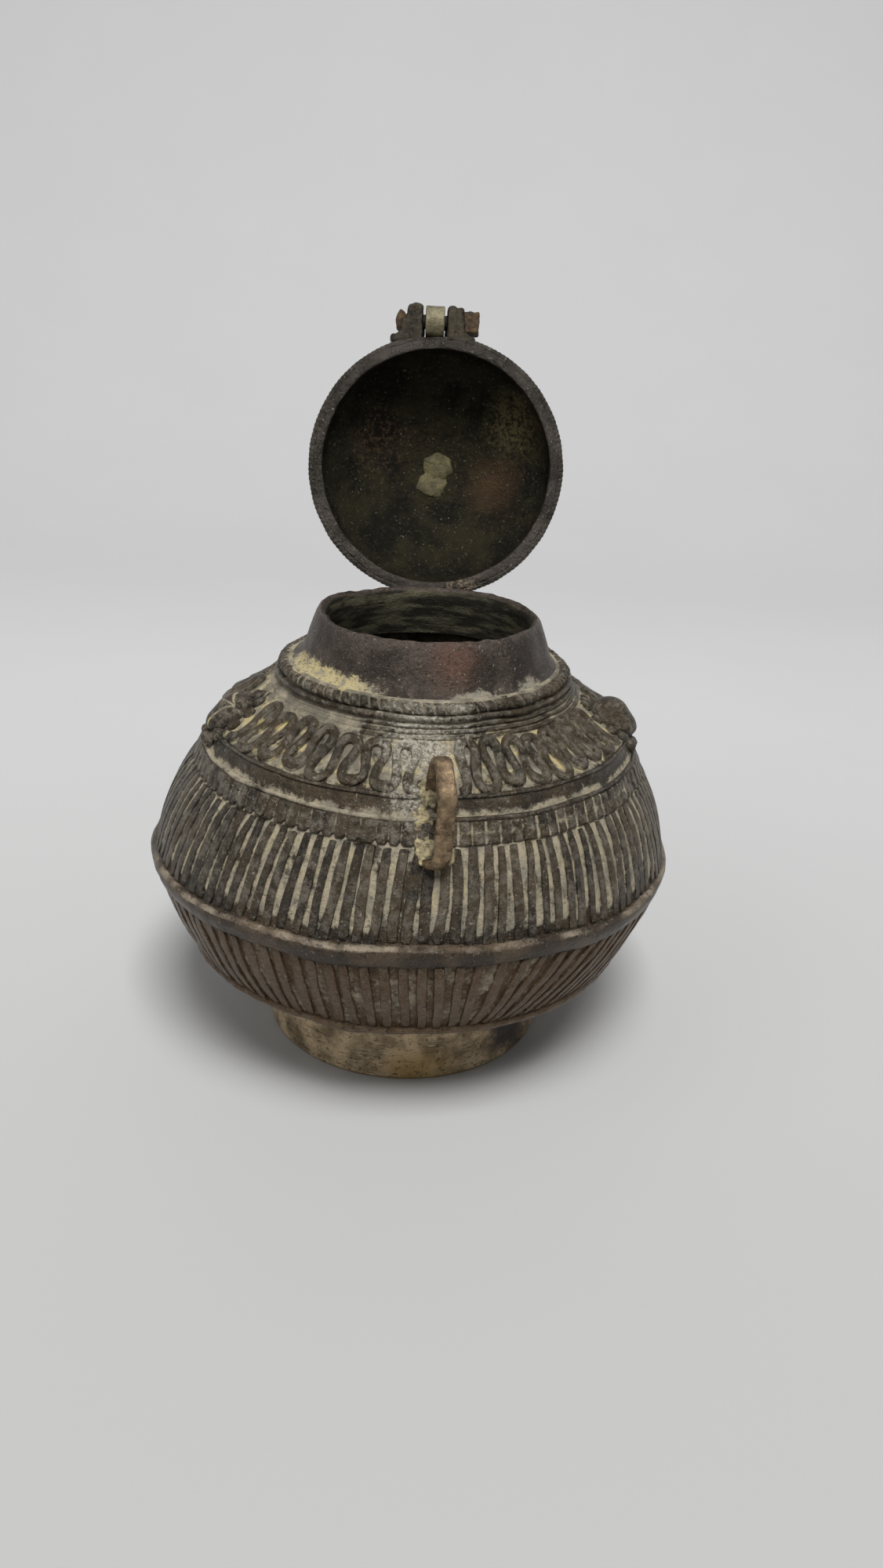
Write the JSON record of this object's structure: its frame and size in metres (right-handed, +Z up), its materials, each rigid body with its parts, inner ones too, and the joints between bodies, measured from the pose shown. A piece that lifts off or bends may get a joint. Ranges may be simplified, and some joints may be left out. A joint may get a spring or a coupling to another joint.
{
  "type": "lidded bronze pot",
  "caption": "Squat keeled bronze pot with thread ornament on its shoulder, a plain neck and foot ring, and a hinged domed lid whose hasp closes over a staple.",
  "frame": {"origin": "centre of the foot's underside, on the foot's axis", "axes": "+Z up along the foot's axis, -Y to the front where the staple is, +Y to the lid's hinge, +X to the right"},
  "size_m": [0.14, 0.1558, 0.1906],
  "materials": {
    "dark_bronze": "aged satin bronze with pale deposit in the hollows",
    "brown_bronze": "brown worn bronze",
    "rusty_iron": "rusty forged iron",
    "pale_brass": "dull pale brass",
    "pale_solder": "dull pale solder",
    "yellow_filler": "matte earthy filler"
  },
  "bodies": {
    "pot": {"vessel_floor": "dark_bronze", "vessel_underside": "dark_bronze", "lower_belly": "dark_bronze", "upper_belly": "dark_bronze", "vessel_shoulder": "dark_bronze", "neck_collar": "dark_bronze", "foot_ring": "brown_bronze", "foot_seam_ring": "dark_bronze", "keel_band_ring": "dark_bronze", "upper_ribs": "dark_bronze", "lower_ribs": "dark_bronze", "notched_band": "dark_bronze", "girdle_threads": "dark_bronze", "shoulder_threads": "dark_bronze", "neck_cord": "dark_bronze", "meander_front_right": "dark_bronze", "meander_back_right": "dark_bronze", "meander_back_left": "dark_bronze", "meander_front_left": "dark_bronze", "rosette_left": "dark_bronze", "rosette_right": "dark_bronze", "staple": "brown_bronze", "staple_filler": "yellow_filler", "hinge_bracket": "dark_bronze", "hinge_pin": "rusty_iron"},
    "lid": {"lid_shell": "dark_bronze", "lid_rim_thread": "dark_bronze", "lid_rings": "dark_bronze", "lid_patch": "pale_solder", "lid_knuckle": "dark_bronze", "hasp_ear_left": "dark_bronze", "hasp_ear_right": "dark_bronze", "hasp_pin": "rusty_iron"},
    "hasp": {"hasp_strap": "pale_brass"}
  },
  "joints": [
    {"name": "lid_hinge", "type": "hinge", "parent": "pot", "child": "lid", "pos_m": [0.0033, 0.04, 0.108], "axis": [1, 0, 0], "range_deg": [0, 104.5]},
    {"name": "hasp_hinge", "type": "hinge", "parent": "lid", "child": "hasp", "pos_m": [0.0014, 0.06497, 0.18459], "axis": [1, 0, 0], "range_deg": [0, 191.71]}
  ]
}
